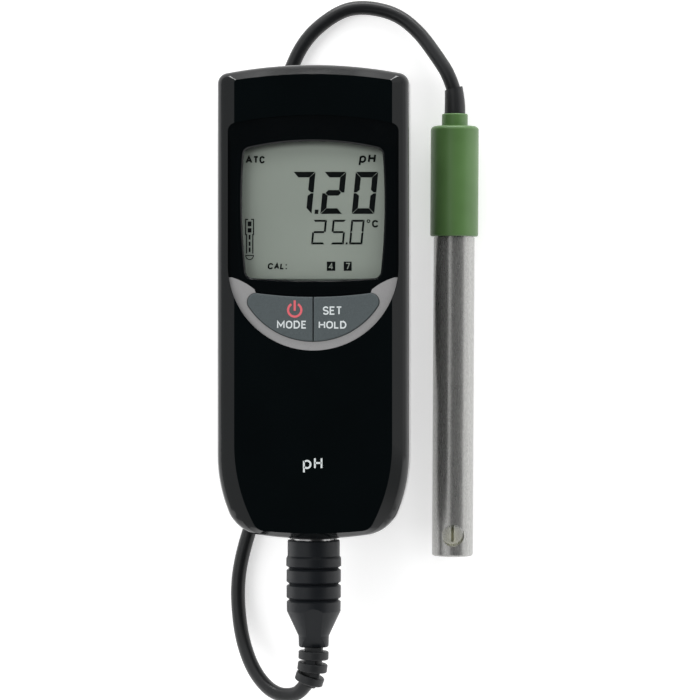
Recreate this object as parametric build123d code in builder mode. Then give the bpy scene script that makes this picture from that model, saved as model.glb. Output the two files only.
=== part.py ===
from build123d import *
import math
import os

os.makedirs("parts", exist_ok=True)

# ------------------------------------------------------------------
# Portable pH meter lying on its back, with its probe beside it.
# Millimetres. +Z is up, out of the meter's face. +Y runs to the display
# end, +X to the probe. The origin is on the surface below the middle of
# meter and probe.
# ------------------------------------------------------------------

# meter body
case_half_width = 31.48
case_bottom_y = -61.5
case_top_y = 92.5
case_thickness = 30.0
back_z = 10.0
front_z = back_z + case_thickness
bevel_z = front_z - 2.9
parting_z = 25.0
gasket_thickness = 0.6
case_wall = 2.3
wall_draft = 0.9
edge_round = 4.0

# where the meter's drawing origin stands in the object's frame
meter_x = -11.45
meter_y = -12.16

# display and keys
face_half_width = 25.3
pocket_half_width = 27.4
pocket_floor_z = front_z - 4.0
bezel_z = front_z - 2.0
lens_z = bezel_z - 0.25
trim_low_z = bezel_z + 0.05
trim_low_y = 23.3
trim_high_y = -0.2
key_gap = 0.15
key_proud = 0.35
key_travel = 0.8

# plug and socket
plug_z = parting_z
plug_radius = 8.9
shell_radius = 6.6

# probe, measured along its axis from the tip
probe_tip = (34.26, -80.26, 6.8)
probe_direction = (0.0053, 0.99992, 0.01098)
tube_radius = 6.78
tube_bore = 5.6
spigot_radius = 6.4
# dark line where the tube meets the head
joint_gap = 0.3
tube_length = 105.7
head_radius = 7.94
head_length = 36.4
neck_radius = 4.3
neck_length = 4.1
sleeve_length = 8.4
guard_hole_radius = 3.65
guard_hole_at = 7.0

# lead
lead_diameter = 4.7
coil_lift = 0.3
coil_outer = 30.35
coil_inner = 16.25
coil_height = 9.4
coil_y = 15.0


def level(z):
    """Plane of the meter's drawing at height z."""
    return Plane((meter_x, meter_y, z))


def save(builder, name):
    builder.part.label = name
    export_step(builder.part, "parts/" + name + ".step")


# ------------------------------------------------------------------
# plan outlines of the meter, in its drawing frame
# ------------------------------------------------------------------


def outline(inset, radii, sweeps, bottom, side, corner, top_radius, top):
    """Closed outline of tangent arcs, set in by inset, symmetric about x = 0."""
    r3, r2, r1 = radii
    a3, a2 = sweeps
    a1 = 90 - a3 - a2

    def step(start, radius, angle):
        c = (
            start[0] - radius * math.sin(math.radians(angle)),
            start[1] + radius * math.cos(math.radians(angle)),
        )
        return c

    def end(centre, radius, angle):
        return (
            centre[0] + radius * math.sin(math.radians(angle)),
            centre[1] - radius * math.cos(math.radians(angle)),
        )

    c3 = (0.0, bottom + r3)
    e3 = end(c3, r3, a3)
    c2 = step(e3, r2, a3)
    e2 = end(c2, r2, a3 + a2)
    c1 = step(e2, r1, a3 + a2)
    wide = c1[0] + r1
    corner_y = top - top_radius + math.sqrt(
        (top_radius - corner) ** 2 - (wide - corner) ** 2
    )
    lean = math.degrees(math.asin((wide - corner) / (top_radius - corner)))
    with BuildSketch() as plan:
        with BuildLine():
            CenterArc(c3, r3 - inset, -90, a3)
            CenterArc(c2, r2 - inset, -90 + a3, a2)
            CenterArc(c1, r1 - inset, -90 + a3 + a2, a1)
            Line((wide - inset, c1[1]), (wide - inset, corner_y))
            CenterArc((wide - corner, corner_y), corner - inset, 0, 90 - lean)
            CenterArc((0, top - top_radius), top_radius - inset, 90 - lean, lean)
            mirror(about=Plane.YZ)
        make_face()
    return plan.sketch


def case_plan(inset=0.0):
    return outline(
        inset,
        (119.5, 13.42, 48.6),
        (8.428, 59.797),
        case_bottom_y,
        case_half_width,
        4.2,
        150.0,
        case_top_y,
    )


def face_plan(inset=0.0):
    return outline(
        inset,
        (163.7, 4.116, 54.56),
        (5.535, 56.74),
        -58.76,
        face_half_width,
        1.0,
        165.0,
        88.4,
    )


# pocket for display and keys: arched lip, straight sides, round lower end
lip_radius = 126.0
lip_y = 75.3
lip_corner = 2.6
pocket_side = pocket_half_width
lip_corner_y = (
    lip_y
    - lip_radius
    + math.sqrt((lip_radius - lip_corner) ** 2 - (pocket_side - lip_corner) ** 2)
)
lip_lean = math.degrees(
    math.asin((pocket_side - lip_corner) / (lip_radius - lip_corner))
)
with BuildSketch() as pocket:
    with BuildLine():
        CenterArc((0, 27.2), pocket_side, -90, 90)
        Line((pocket_side, 27.2), (pocket_side, lip_corner_y))
        CenterArc((pocket_side - lip_corner, lip_corner_y), lip_corner, 0, 90 - lip_lean)
        CenterArc((0, lip_y - lip_radius), lip_radius, 90 - lip_lean, lip_lean)
        mirror(about=Plane.YZ)
    make_face()


def window_plan(inset=0.0):
    """The display window: four shallow arcs with rounded corners."""
    low, wide, high = 21.5 - inset, 22.9 - inset, 22.2 - inset
    y_low, y_high = 23.2 + inset, 64.4 - inset
    with BuildSketch() as plan:
        with BuildLine():
            ThreePointArc((-low, y_low), (0, y_low - 0.9), (low, y_low))
            ThreePointArc((low, y_low), (wide, 45.0), (high, y_high))
            ThreePointArc((high, y_high), (0, y_high + 2.7), (-high, y_high))
            ThreePointArc((-high, y_high), (-wide, 45.0), (-low, y_low))
        make_face()
        fillet(plan.vertices(), 2.4)
    return plan.sketch



# both keys together
with BuildSketch() as keys:
    with BuildLine():
        ThreePointArc((-18.4, 18.25), (0, 17.0), (18.4, 18.25))
        ThreePointArc((18.4, 18.25), (20.5, 17.2), (20.95, 14.3))
        ThreePointArc((20.95, 14.3), (0, 2.75), (-20.95, 14.3))
        ThreePointArc((-20.95, 14.3), (-20.5, 17.2), (-18.4, 18.25))
    make_face()

# everything above the lower edge of the display surround
with BuildSketch() as upper:
    with BuildLine():
        Line((0, 80), (32, 80))
        Line((32, 80), (32, 23.3))
        Line((32, 23.3), (26.1, 23.3))
        ThreePointArc((26.1, 23.3), (22.7, 21.95), (18.9, 19.5))
        Line((18.9, 19.5), (18.4, 18.25))
        ThreePointArc((18.4, 18.25), (9.25, 17.3), (0, 17.0))
        mirror(about=Plane.YZ)
    make_face()

# the keys and their trim lie on a slope that rises to the meter's face
slope = math.degrees(
    math.atan2(front_z - trim_low_z, trim_low_y - trim_high_y)
)


def key_slope(rise):
    """Plane of the sloping key field, lifted by rise, its normal upwards."""
    return Plane(
        origin=(meter_x, meter_y + trim_high_y, front_z + rise),
        x_dir=(1, 0, 0),
        z_dir=(0, math.sin(math.radians(slope)), math.cos(math.radians(slope))),
    )


screw_spots = [(23.9, 83.0), (-23.9, 83.0), (23.4, -42.0), (-23.4, -42.0)]
socket_axis = Plane(
    origin=(meter_x, meter_y + case_bottom_y, plug_z),
    x_dir=(1, 0, 0),
    z_dir=(0, -1, 0),
)

# ------------------------------------------------------------------
# case shells
# ------------------------------------------------------------------
front_low = parting_z + gasket_thickness / 2
rear_high = parting_z - gasket_thickness / 2

with BuildPart() as front_case:
    with BuildSketch(level(bevel_z)):
        add(case_plan(wall_draft))
    with BuildSketch(level(front_z)):
        add(face_plan())
    loft(ruled=True)
    with BuildSketch(level(front_low)):
        add(case_plan())
    with BuildSketch(level(bevel_z)):
        add(case_plan(wall_draft))
    loft(ruled=True)
    rim = front_case.edges().filter_by_position(Axis.Z, bevel_z - 0.01, bevel_z + 0.01)
    fillet(rim, edge_round)
    # hollow
    with BuildSketch(level(front_low)):
        add(case_plan(case_wall))
    extrude(amount=front_z - 5.4 - front_low, mode=Mode.SUBTRACT)
    with BuildSketch(level(front_z - 5.4)):
        add(face_plan(0.6))
    extrude(amount=3.0, mode=Mode.SUBTRACT)
    # frame that carries the display surround and the key trim
    with BuildSketch(level(front_z - 5.4)):
        add(pocket.sketch)
        offset(amount=1.6)
    extrude(amount=3.2)
    # bosses
    with BuildSketch(level(front_low)):
        with Locations(*screw_spots):
            Circle(3.6)
    extrude(amount=front_z - 2.2 - front_low)
    # pocket and the opening below it
    with BuildSketch(level(pocket_floor_z)):
        add(pocket.sketch)
    extrude(amount=6.0, mode=Mode.SUBTRACT)
    with BuildSketch(level(front_z - 9)):
        add(pocket.sketch)
        offset(amount=-1.2)
    extrude(amount=6.0, mode=Mode.SUBTRACT)
    # holes for the inserts
    with BuildSketch(level(front_low)):
        with Locations(*screw_spots):
            Circle(2.1)
    extrude(amount=6.5, mode=Mode.SUBTRACT)
    # socket hole in the bottom end
    with BuildSketch(socket_axis.offset(-6)):
        Circle(8.05)
    extrude(amount=8, mode=Mode.SUBTRACT)
save(front_case, "front_case")

with BuildPart() as rear_case:
    with BuildSketch(level(rear_high)):
        add(case_plan())
    with BuildSketch(level(back_z)):
        add(case_plan(0.6))
    loft(ruled=True)
    back_rim = rear_case.faces().sort_by(Axis.Z)[0].edges()
    fillet(back_rim, 4.0)
    with BuildSketch(level(back_z + 2.2)):
        add(case_plan(2.6))
    extrude(amount=rear_high - back_z - 2.2, mode=Mode.SUBTRACT)
    with BuildSketch(level(back_z + 2.2)):
        with Locations(*screw_spots):
            Circle(3.7)
    extrude(amount=rear_high - back_z - 2.2)
    with BuildSketch(level(back_z)):
        with Locations(*screw_spots):
            Circle(1.65)
    extrude(amount=20, mode=Mode.SUBTRACT)
    with BuildSketch(level(back_z)):
        with Locations(*screw_spots):
            Circle(3.1)
    extrude(amount=4.2, mode=Mode.SUBTRACT)
    # bare recess for a rating plate
    with BuildSketch(level(back_z)):
        with Locations((0, 20)):
            RectangleRounded(40, 78, 3)
    extrude(amount=0.4, mode=Mode.SUBTRACT)
    # two rows of grip grooves across the lower back
    with BuildSketch(level(back_z)):
        with GridLocations(1, 4.0, 1, 4):
            with Locations((0, -41)):
                SlotOverall(30, 1.4)
    extrude(amount=0.5, mode=Mode.SUBTRACT)
    with BuildSketch(socket_axis.offset(-6)):
        Circle(8.05)
    extrude(amount=8, mode=Mode.SUBTRACT)
save(rear_case, "rear_case")

with BuildPart() as case_gasket:
    with BuildSketch(level(rear_high)):
        add(case_plan(0.35))
        add(case_plan(2.1), mode=Mode.SUBTRACT)
    extrude(amount=gasket_thickness)
    with BuildSketch(socket_axis.offset(-6)):
        Circle(8.05)
    extrude(amount=8, mode=Mode.SUBTRACT)
save(case_gasket, "case_gasket")

with BuildPart() as case_screws:
    with BuildSketch(level(back_z + 2.2)):
        with Locations(*screw_spots):
            Circle(2.75)
    extrude(amount=2.0)
    chamfer(
        case_screws.edges().filter_by(GeomType.CIRCLE).group_by(Axis.Z)[0], 0.5
    )
    with BuildSketch(level(back_z + 4.2)):
        with Locations(*screw_spots):
            Circle(1.45)
    extrude(amount=15.5)
    with BuildSketch(level(back_z + 2.2)):
        with Locations(*screw_spots):
            Rectangle(3.4, 0.7)
            Rectangle(0.7, 3.4)
    extrude(amount=1.1, mode=Mode.SUBTRACT)
save(case_screws, "case_screws")

with BuildPart() as threaded_inserts:
    with BuildSketch(level(front_low + 0.1)):
        with Locations(*screw_spots):
            Circle(2.1)
            Circle(1.5, mode=Mode.SUBTRACT)
    extrude(amount=5.6)
save(threaded_inserts, "threaded_inserts")

# ------------------------------------------------------------------
# display
# ------------------------------------------------------------------
ramp_foot_y = 68.3
ramp_rise = 1.35
ramp_run = lip_y - ramp_foot_y

with BuildPart() as display_bezel:
    with BuildSketch(level(pocket_floor_z)):
        add(pocket.sketch)
        offset(amount=-0.05)
        add(upper.sketch, mode=Mode.INTERSECT)
        with BuildSketch(mode=Mode.SUBTRACT):
            add(keys.sketch)
            offset(amount=key_gap)
    extrude(amount=front_z - pocket_floor_z - 0.3)
    # hollow out the front down to the surround's plane, with a slope to the lip
    with BuildSketch(level(bezel_z)):
        with BuildLine():
            ThreePointArc(
                (-40, ramp_foot_y - 40**2 / (2 * lip_radius)),
                (0, ramp_foot_y),
                (40, ramp_foot_y - 40**2 / (2 * lip_radius)),
            )
            Line((40, ramp_foot_y - 40**2 / (2 * lip_radius)), (40, 0))
            Line((40, 0), (-40, 0))
            Line((-40, 0), (-40, ramp_foot_y - 40**2 / (2 * lip_radius)))
        make_face()
    reach = ramp_foot_y + ramp_run / ramp_rise * 2.2
    with BuildSketch(level(bezel_z + 2.2)):
        with BuildLine():
            ThreePointArc(
                (-40, reach - 40**2 / (2 * lip_radius)),
                (0, reach),
                (40, reach - 40**2 / (2 * lip_radius)),
            )
            Line((40, reach - 40**2 / (2 * lip_radius)), (40, 0))
            Line((40, 0), (-40, 0))
            Line((-40, 0), (-40, reach - 40**2 / (2 * lip_radius)))
        make_face()
    loft(ruled=True, mode=Mode.SUBTRACT)
    with BuildSketch(level(pocket_floor_z)):
        add(window_plan())
    extrude(amount=10, mode=Mode.SUBTRACT)
    mouth = (
        display_bezel.faces()
        .filter_by(Axis.Z)
        .group_by(Axis.Z)[-1]
        .sort_by(SortBy.AREA)[-1]
        .inner_wires()[0]
        .edges()
    )
    chamfer(mouth, 0.45)
save(display_bezel, "display_bezel")

with BuildPart() as display_lens:
    with BuildSketch(level(pocket_floor_z - 0.9)):
        with Locations((0, 44.75)):
            RectangleRounded(47.2, 46.4, 2.6)
    extrude(amount=0.85)
    with BuildSketch(level(pocket_floor_z - 0.5)):
        add(window_plan(0.06))
    extrude(amount=lens_z - pocket_floor_z + 0.5)
save(display_lens, "display_lens")

lcd_y = 45.3
with BuildPart() as lcd_glass:
    with BuildSketch(level(32.2)):
        with Locations((0, lcd_y)):
            Rectangle(47.6, 48.4)
    extrude(amount=1.1)
    with BuildSketch(level(33.3)):
        with Locations((0, lcd_y + 0.9)):
            Rectangle(47.6, 46.6)
    extrude(amount=1.1)
save(lcd_glass, "lcd_glass")

with BuildPart() as lcd_holder:
    with BuildSketch(level(28.85)):
        with Locations((0, lcd_y)):
            RectangleRounded(51.8, 51.0, 1.5)
            Rectangle(43.6, 38.0, mode=Mode.SUBTRACT)
        with Locations((0, lcd_y + 21.6), (0, lcd_y - 21.6)):
            Rectangle(42.0, 2.4, mode=Mode.SUBTRACT)
    extrude(amount=3.35)
    with BuildSketch(level(32.2)):
        with Locations((0, lcd_y)):
            RectangleRounded(51.8, 51.0, 1.5)
            Rectangle(47.8, 48.6, mode=Mode.SUBTRACT)
    extrude(amount=2.3)
save(lcd_holder, "lcd_holder")

with BuildPart() as zebra_strips:
    with BuildSketch(level(28.85)):
        with Locations((0, lcd_y + 21.6), (0, lcd_y - 21.6)):
            Rectangle(41.6, 2.0)
    extrude(amount=3.3)
save(zebra_strips, "zebra_strips")

# ------------------------------------------------------------------
# keys
# ------------------------------------------------------------------
with BuildPart() as keypad_trim:
    with BuildSketch(level(pocket_floor_z)):
        add(pocket.sketch)
        offset(amount=-0.05)
        add(upper.sketch, mode=Mode.SUBTRACT)
        with BuildSketch(mode=Mode.SUBTRACT):
            add(keys.sketch)
            offset(amount=key_gap)
    extrude(amount=6)
    split(bisect_by=key_slope(0), keep=Keep.BOTTOM)
save(keypad_trim, "keypad_trim")

key_low = pocket_floor_z - 3.0


def build_key(side):
    with BuildPart() as key:
        with BuildSketch(level(key_low)):
            add(keys.sketch)
            with Locations((-side * 20 + side * key_gap, 10)):
                Rectangle(40, 40, mode=Mode.SUBTRACT)
        extrude(amount=10)
        split(bisect_by=key_slope(key_proud), keep=Keep.BOTTOM)
        top = key.faces().filter_by(
            lambda f: f.normal_at().Z > 0.9 and f.center().Z > pocket_floor_z
        )
        fillet(top.edges(), 0.4)
        # flange that holds the key in behind the trim
        with BuildSketch(level(pocket_floor_z - 1.1)):
            add(keys.sketch)
            offset(amount=0.6)
            with Locations((-side * 20 + side * key_gap, 10)):
                Rectangle(40, 44, mode=Mode.SUBTRACT)
        extrude(amount=1.0)
        # hollow underside with a plunger
        with BuildSketch(level(key_low)):
            add(keys.sketch)
            offset(amount=-1.3)
            with Locations((-side * 20 + side * (key_gap + 1.3), 10)):
                Rectangle(40, 44, mode=Mode.SUBTRACT)
        extrude(amount=3.4, mode=Mode.SUBTRACT)
        with BuildSketch(level(key_low - 0.5)):
            with Locations((side * 9.0, 11.0)):
                Circle(2.4)
        extrude(amount=4.4)
    return key


mode_button = build_key(-1)
save(mode_button, "mode_button")
set_button = build_key(1)
save(set_button, "set_button")

with BuildPart() as keypad_membrane:
    with BuildSketch(level(28.85)):
        with Locations((0, 10.4)):
            RectangleRounded(38, 13.6, 2)
    extrude(amount=0.8)
    with BuildSketch(level(29.65)):
        with Locations((-9, 11), (9, 11)):
            Circle(4.2)
    extrude(amount=1.9, taper=22)
save(keypad_membrane, "keypad_membrane")

# ------------------------------------------------------------------
# electronics and power
# ------------------------------------------------------------------
with BuildPart() as main_board:
    with BuildSketch(level(27.2)):
        add(case_plan(4.2))
        with Locations((0, -62)):
            Rectangle(80, 40, mode=Mode.SUBTRACT)
        with Locations(*screw_spots):
            Circle(4.4, mode=Mode.SUBTRACT)
    extrude(amount=1.6)
save(main_board, "main_board")

with BuildPart() as board_parts:
    with BuildSketch(level(28.85)):
        with Locations((-6, -14)):
            Rectangle(10, 10)
        with Locations((9, -10)):
            Rectangle(5, 6.2)
        with Locations((12, -24)):
            Rectangle(4.0, 5.0)
        with GridLocations(5, 4, 4, 2):
            with Locations((0, -31)):
                Rectangle(2.0, 1.25)
    extrude(amount=1.2)
    with BuildSketch(level(28.85)):
        with Locations((-15, -28)):
            RectangleRounded(3.8, 10, 1.8)
        with Locations((16, -36)):
            Circle(3.1)
    extrude(amount=3.6)
save(board_parts, "board_parts")

cell_radius = 5.25
cell_length = 44.5
cell_z = back_z + 2.4 + 1.0 + cell_radius
cell_y = 20.0
cell_pitch = 11.2
cell_plane = Plane(
    origin=(meter_x, meter_y + cell_y - cell_length / 2, cell_z),
    x_dir=(1, 0, 0),
    z_dir=(0, 1, 0),
)

with BuildPart() as battery_tray:
    with BuildSketch(level(back_z + 2.25)):
        with Locations((0, cell_y)):
            RectangleRounded(37.6, 56.0, 1.5)
    extrude(amount=8.6)
    with BuildSketch(level(back_z + 3.3)):
        with Locations((0, cell_y)):
            Rectangle(35.2, 53.2)
    extrude(amount=10, mode=Mode.SUBTRACT)
    with BuildSketch(level(back_z + 3.2)):
        with Locations((-cell_pitch / 2, cell_y), (cell_pitch / 2, cell_y)):
            Rectangle(0.5, 53.0)
    extrude(amount=3.0)
save(battery_tray, "battery_tray")

with BuildPart() as batteries:
    with BuildSketch(cell_plane):
        with Locations((-cell_pitch, 0), (0, 0), (cell_pitch, 0)):
            Circle(cell_radius)
    extrude(amount=cell_length - 0.8)
    fillet(batteries.edges().filter_by(GeomType.CIRCLE), 0.5)
    with BuildSketch(cell_plane.offset(cell_length - 0.8)):
        with Locations((-cell_pitch, 0), (0, 0), (cell_pitch, 0)):
            Circle(1.9)
    extrude(amount=0.8)
save(batteries, "batteries")

with BuildPart() as battery_contacts:
    for x in (-cell_pitch, 0, cell_pitch):
        with BuildSketch(cell_plane.offset(cell_length + 0.1)):
            with Locations((x, 0)):
                Rectangle(7.5, 7.5)
        extrude(amount=0.4)
        with BuildSketch(cell_plane.offset(-3.9)):
            with Locations((x, 0)):
                Rectangle(7.5, 7.5)
        extrude(amount=0.4)
        with BuildSketch(cell_plane.offset(-3.5)):
            with Locations((x, 0)):
                Circle(2.9)
                Circle(2.3, mode=Mode.SUBTRACT)
        extrude(amount=3.4, taper=14)
save(battery_contacts, "battery_contacts")

# ------------------------------------------------------------------
# socket in the case and the plug in it. Distances run out of the case
# along the plug's axis from the case's bottom end.
# ------------------------------------------------------------------
with BuildPart() as socket_housing:
    with BuildSketch(socket_axis.offset(-12.5)):
        Circle(8.0)
    extrude(amount=12.2)
    with BuildSketch(socket_axis.offset(-5.2)):
        Circle(9.6)
    extrude(amount=1.6)
    with BuildSketch(socket_axis.offset(-10.0)):
        Circle(6.75)
    extrude(amount=12, mode=Mode.SUBTRACT)
    with BuildSketch(socket_axis.offset(-14)):
        Circle(4.6)
    extrude(amount=5, mode=Mode.SUBTRACT)
save(socket_housing, "socket_housing")

pin_ring = 3.4
with BuildPart() as socket_insert:
    with BuildSketch(socket_axis.offset(-10.0)):
        Circle(5.85)
        Circle(0.8, mode=Mode.SUBTRACT)
        with PolarLocations(pin_ring, 6, start_angle=-60, angular_range=300):
            Circle(0.8, mode=Mode.SUBTRACT)
    extrude(amount=8.6)
save(socket_insert, "socket_insert")

with BuildPart() as socket_contacts:
    with BuildSketch(socket_axis.offset(-15)):
        Circle(0.55)
        with PolarLocations(pin_ring, 6, start_angle=-60, angular_range=300):
            Circle(0.55)
    extrude(amount=6.4)
save(socket_contacts, "socket_contacts")

with BuildPart() as socket_seal:
    with BuildSketch(socket_axis.offset(-3.58)):
        Circle(9.4)
        Circle(8.05, mode=Mode.SUBTRACT)
    extrude(amount=0.55)
save(socket_seal, "socket_seal")

with BuildPart() as plug_shell:
    with BuildSketch(socket_axis.offset(-8.6)):
        Circle(shell_radius)
        Circle(6.0, mode=Mode.SUBTRACT)
    extrude(amount=14)
save(plug_shell, "plug_shell")

with BuildPart() as plug_insert:
    with BuildSketch(socket_axis.offset(0.6)):
        Circle(5.95)
        Circle(0.7, mode=Mode.SUBTRACT)
        with PolarLocations(pin_ring, 6, start_angle=-60, angular_range=300):
            Circle(0.7, mode=Mode.SUBTRACT)
    extrude(amount=4.6)
save(plug_insert, "plug_insert")

with BuildPart() as plug_pins:
    with BuildSketch(socket_axis.offset(-7.8)):
        Circle(0.68)
        with PolarLocations(pin_ring, 6, start_angle=-60, angular_range=300):
            Circle(0.68)
    extrude(amount=15.0)
    chamfer(
        plug_pins.edges().filter_by(GeomType.CIRCLE).group_by(Axis.Y)[-1], 0.25
    )
save(plug_pins, "plug_pins")

# section of the plug's moulded body: (distance, radius)
body_section = [
    (0.25, 8.35),
    (0.6, 8.5),
    (5.3, 8.5),
    (5.9, 8.85),
    (6.3, 8.95),
    (8.6, 8.95),
    (9.3, 7.9),
    (10.0, 8.85),
    (13.7, 8.85),
    (14.4, 7.9),
    (15.1, 8.85),
    (18.8, 8.85),
    (19.5, 7.9),
    (20.2, 8.8),
    (23.3, 8.75),
    (31.4, 4.95),
    (34.6, 4.85),
    (35.0, 4.5),
]
with BuildPart() as plug_body:
    with BuildSketch(
        Plane(
            origin=(meter_x, meter_y + case_bottom_y, plug_z),
            x_dir=(0, -1, 0),
            z_dir=(1, 0, 0),
        )
    ):
        with BuildLine():
            Polyline((0.25, 0), *body_section, (35.0, 0), (0.25, 0))
        make_face()
    revolve(axis=Axis((meter_x, meter_y + case_bottom_y, plug_z), (0, -1, 0)))
    # shallow flats above and below on the cone
    for up in (1, -1):
        with BuildSketch(
            Plane(
                origin=(
                    meter_x,
                    meter_y + case_bottom_y - 23.0,
                    plug_z + up * 8.35,
                ),
                x_dir=(1, 0, 0),
                z_dir=(0, -0.47 * 1.0, up * 1.0),
            )
        ):
            Rectangle(30, 40)
        extrude(amount=6, mode=Mode.SUBTRACT)
    # room for shell, insert, pins and the lead's end
    with BuildSketch(socket_axis.offset(0)):
        Circle(6.62)
    extrude(amount=5.5, mode=Mode.SUBTRACT)
    with BuildSketch(socket_axis.offset(5.5)):
        Circle(5.2)
    extrude(amount=3.0, mode=Mode.SUBTRACT)
save(plug_body, "plug_body")

# slotted strain relief that bends down and to the left: three collars on a
# thin core, joined by webs that change sides
relief_points = [
    ((0.0, 35.1, 0.0), (0.0, -1.0, 0.0)),
    ((0.0, 36.3, 0.0), (-0.04, -1.0, -0.02)),
    ((-0.25, 40.2, -0.1), (-0.12, -1.0, -0.06)),
    ((-0.95, 44.1, -0.5), (-0.30, -0.95, -0.14)),
    ((-2.0, 47.2, -1.1), (-0.42, -0.88, -0.22)),
]


def on_relief(i):
    (dx, along, dz), direction = relief_points[i]
    return Plane(
        origin=(
            meter_x + dx,
            meter_y + case_bottom_y - along,
            plug_z + dz,
        ),
        x_dir=(-direction[1], direction[0], 0),
        z_dir=direction,
    )


with BuildPart() as plug_strain_relief:
    # collars
    for i, (r, t) in enumerate([(4.9, 2.75), (4.85, 2.75), (4.7, 2.7)]):
        with BuildSketch(on_relief(i + 1)):
            Circle(r)
        extrude(amount=t)
    fillet(plug_strain_relief.edges().filter_by(GeomType.CIRCLE), 0.45)
    # core
    for i in range(4):
        with BuildSketch(on_relief(i)):
            Circle(3.05 - 0.05 * i)
        with BuildSketch(on_relief(i + 1)):
            Circle(3.05 - 0.05 * (i + 1))
        loft(ruled=True)
    # webs between the collars
    for i, (dx, t) in enumerate([(0.9, 1.5), (-0.9, 4.1), (0.9, 4.1)]):
        with BuildSketch(on_relief(i)):
            with Locations((dx, 0)):
                Rectangle(3.0, 8.4)
        extrude(amount=t)
    with BuildSketch(on_relief(4).offset(-4)):
        Circle(lead_diameter / 2 + 0.03)
    extrude(amount=8, mode=Mode.SUBTRACT)
save(plug_strain_relief, "plug_strain_relief")

# ------------------------------------------------------------------
# probe, built on its own axis from the tip
# ------------------------------------------------------------------
axis_length = math.sqrt(sum(c * c for c in probe_direction))
probe_z = tuple(c / axis_length for c in probe_direction)
probe = Plane(
    origin=probe_tip,
    x_dir=(probe_z[1], -probe_z[0], 0),
    z_dir=probe_z,
)


def along(s):
    """Cross plane of the probe at distance s from the tip."""
    return probe.offset(s)


with BuildPart() as probe_tube:
    with BuildSketch(along(0)):
        Circle(tube_radius)
    extrude(amount=tube_length - joint_gap)
    rim_edges = probe_tube.edges().filter_by(GeomType.CIRCLE).sort_by(Axis.Y)[0]
    fillet(rim_edges, 0.7)
    # spigot that carries the head
    with BuildSketch(along(tube_length - joint_gap - 0.5)):
        Circle(spigot_radius)
    extrude(amount=6.5 + joint_gap)
    with BuildSketch(along(-1)):
        Circle(tube_bore)
    extrude(amount=tube_length + 8, mode=Mode.SUBTRACT)
    # round window through both walls, above and below the bulb
    hole = Plane(
        origin=along(guard_hole_at).origin - probe.y_dir * (-10),
        x_dir=probe.x_dir,
        z_dir=probe.y_dir * (-1),
    )
    with BuildSketch(hole):
        Circle(guard_hole_radius)
    extrude(amount=20, mode=Mode.SUBTRACT)
save(probe_tube, "probe_tube")

with BuildPart() as probe_head:
    with BuildSketch(along(tube_length)):
        Circle(head_radius)
    extrude(amount=head_length)
    ends = probe_head.edges().filter_by(GeomType.CIRCLE).sort_by(Axis.Y)
    fillet(ends[-1], 1.4)
    chamfer(ends[0], 0.35)
    with BuildSketch(along(tube_length + head_length - 0.2)):
        Circle(neck_radius)
    extrude(amount=neck_length + 0.2)
    neck_end = probe_head.edges().filter_by(GeomType.CIRCLE).sort_by(Axis.Y)[-1]
    fillet(neck_end, 0.5)
    with BuildSketch(along(tube_length - 1)):
        Circle(spigot_radius + 0.02)
    extrude(amount=7.0, mode=Mode.SUBTRACT)
    with BuildSketch(along(tube_length + 5)):
        Circle(6.2)
    extrude(amount=27.5, mode=Mode.SUBTRACT)
    with BuildSketch(along(tube_length + 30)):
        Circle(2.5)
    extrude(amount=15, mode=Mode.SUBTRACT)
save(probe_head, "probe_head")

neck_top = tube_length + head_length + neck_length
sleeve_lean = 14.0
sleeve_shift = 0.45
sleeve_end = Plane(
    origin=along(neck_top + sleeve_length).origin - probe.x_dir * sleeve_shift,
    x_dir=probe.x_dir * math.cos(math.radians(sleeve_lean))
    + probe.z_dir * math.sin(math.radians(sleeve_lean)),
    z_dir=probe.z_dir * math.cos(math.radians(sleeve_lean))
    - probe.x_dir * math.sin(math.radians(sleeve_lean)),
)
with BuildPart() as probe_strain_relief:
    with BuildSketch(along(neck_top)):
        Circle(3.45)
    with BuildSketch(along(neck_top + 3.0)):
        Circle(3.38)
    with BuildSketch(sleeve_end):
        Circle(3.0)
    loft()
    with BuildSketch(along(neck_top - 8)):
        Circle(2.45)
    extrude(amount=8.1)
    with BuildSketch(sleeve_end.offset(-5.0)):
        Circle(lead_diameter / 2 + 0.03)
    extrude(amount=7, mode=Mode.SUBTRACT)
save(probe_strain_relief, "probe_strain_relief")

bulb_radius = 3.9
bulb_at = 6.9
stem_radius = 3.0
stem_from = bulb_at + math.sqrt(bulb_radius**2 - stem_radius**2)

with BuildPart() as glass_bulb:
    with BuildSketch(Plane(origin=probe_tip, x_dir=probe.z_dir, z_dir=probe.x_dir)):
        with BuildLine():
            ThreePointArc(
                (stem_from, stem_radius),
                (bulb_at, bulb_radius),
                (bulb_at - bulb_radius, 0),
            )
            Line((bulb_at - bulb_radius, 0), (bulb_at - bulb_radius + 0.45, 0))
            ThreePointArc(
                (bulb_at - bulb_radius + 0.45, 0),
                (bulb_at, bulb_radius - 0.45),
                (stem_from, stem_radius - 0.6),
            )
            Line((stem_from, stem_radius - 0.6), (stem_from, stem_radius))
        make_face()
    revolve(axis=Axis(probe_tip, probe_z))
save(glass_bulb, "glass_bulb")

with BuildPart() as glass_stem:
    with BuildSketch(along(stem_from)):
        Circle(stem_radius)
        Circle(stem_radius - 0.6, mode=Mode.SUBTRACT)
    extrude(amount=98)
save(glass_stem, "glass_stem")

with BuildPart() as electrode_wire:
    with BuildSketch(along(4.6)):
        Circle(0.45)
    extrude(amount=106)
save(electrode_wire, "electrode_wire")

with BuildPart() as sensor_bulkhead:
    with BuildSketch(along(13.0)):
        Circle(tube_bore - 0.02)
        Circle(stem_radius + 0.02, mode=Mode.SUBTRACT)
        with Locations((4.25, 0)):
            Circle(1.0, mode=Mode.SUBTRACT)
        with Locations((-4.3, 0)):
            Circle(0.8, mode=Mode.SUBTRACT)
    extrude(amount=4.5)
save(sensor_bulkhead, "sensor_bulkhead")

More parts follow.
